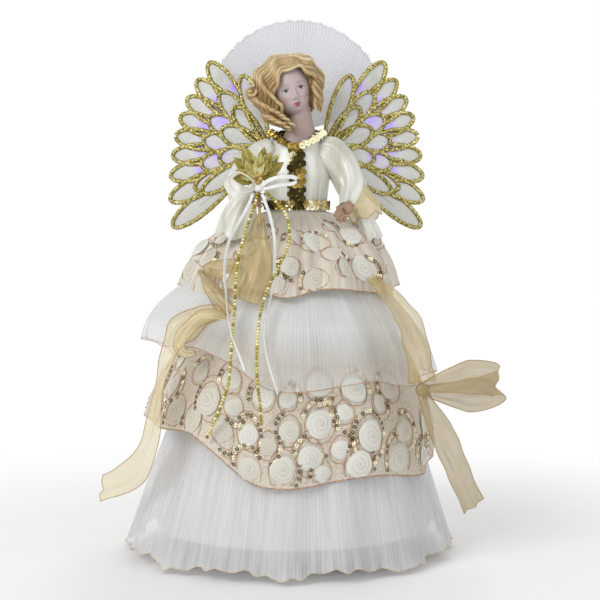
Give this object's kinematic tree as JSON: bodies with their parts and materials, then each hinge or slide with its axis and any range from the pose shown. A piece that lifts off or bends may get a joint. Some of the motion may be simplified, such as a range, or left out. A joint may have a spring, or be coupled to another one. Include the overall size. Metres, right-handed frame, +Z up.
{
  "type": "angel tree topper",
  "caption": "Gowned angel figure on a hollow cone that fits over a tree top, with tiered skirt, folding lighted wings, pleated halo, sashes and a battery box under the skirt.",
  "frame": {"origin": "centre of the bounding box in plan, at the level of the cone's bottom rim", "axes": "+Z up, the figure faces -Y, its left hand is towards +X"},
  "size_m": [0.2908, 0.249, 0.406],
  "materials": {
    "cone_card": "matte card and plastic laminate",
    "form_plastic": "moulded, matte",
    "skin": "painted resin",
    "hair": "painted moulded resin",
    "satin": "woven satin",
    "chiffon": "pleated sheer",
    "tulle": "tulle with rosettes",
    "sequin_gold": "metallised sequins on tape",
    "organza_gold": "wired organza ribbon",
    "leaf_gold": "metallised leaf spray",
    "bead_gold": "metallised beads",
    "wing_cloth": "stiffened sheer with glitter outlines",
    "steel": "wire",
    "fibre": "clear optical fibre",
    "black_plastic": "moulded",
    "nickel": "nickel plate",
    "cell_wrap": "plain wrapped cell",
    "rubber": "matt",
    "led_lens": "clear lens"
  },
  "bodies": {
    "figure": {"arm_wire_left": "steel", "arm_wire_right": "steel", "back_bracket": "black_plastic", "battery_box": "black_plastic", "battery_bracket": "form_plastic", "battery_cell_1": "cell_wrap", "battery_cell_2": "cell_wrap", "battery_cell_3": "cell_wrap", "bead_string_left": "bead_gold", "bead_string_right": "bead_gold", "bodice": "satin", "bouquet": "leaf_gold", "bracket_screw_left": "steel", "bracket_screw_right": "steel", "cone": "cone_card", "contact_lower": "nickel", "contact_upper": "nickel", "cuff_left": "organza_gold", "fibre_bundle": "fibre", "fibre_ferrule": "nickel", "front_trim": "sequin_gold", "hair": "hair", "halo_fan": "chiffon", "halo_stem": "steel", "hand_left": "skin", "hand_right": "skin", "head": "skin", "hem_tier": "chiffon", "lamp_plug": "form_plastic", "lead": "rubber", "lead_grommet": "rubber", "led": "led_lens", "lining": "satin", "neckline_trim": "sequin_gold", "peplum": "tulle", "ribbon_bow": "satin", "ribbon_tail_left": "satin", "ribbon_tail_right": "satin", "rosette_tier": "tulle", "sash_front": "organza_gold", "sash_left": "organza_gold", "sash_right": "organza_gold", "sash_right_bow": "organza_gold", "sash_right_tail": "organza_gold", "sleeve_left": "satin", "sleeve_right": "satin", "switch_body": "nickel", "torso": "form_plastic", "upper_tier": "chiffon", "waist_trim": "sequin_gold"},
    "wing_left": {"wing_left_panel": "wing_cloth", "wing_left_frame": "steel", "wing_left_fibres": "fibre"},
    "wing_right": {"wing_right_panel": "wing_cloth", "wing_right_frame": "steel", "wing_right_fibres": "fibre"},
    "battery_cover": {"battery_cover": "black_plastic"},
    "switch_knob": {"switch_knob": "black_plastic"}
  },
  "joints": [
    {"name": "wing_left_fold", "type": "hinge", "parent": "figure", "child": "wing_left", "pos_m": [0.016, 0.02323, 0.303], "axis": [0, 0, 1], "range_deg": [-15, 11]},
    {"name": "wing_right_fold", "type": "hinge", "parent": "figure", "child": "wing_right", "pos_m": [-0.012, 0.02323, 0.303], "axis": [0, 0, -1], "range_deg": [-15, 11]},
    {"name": "battery_cover_slide", "type": "slide", "parent": "figure", "child": "battery_cover", "axis": [0, 0, -1], "range_m": [0, 0.034]},
    {"name": "switch_slide", "type": "slide", "parent": "figure", "child": "switch_knob", "axis": [1, 0, 0], "range_m": [0, 0.004]}
  ]
}
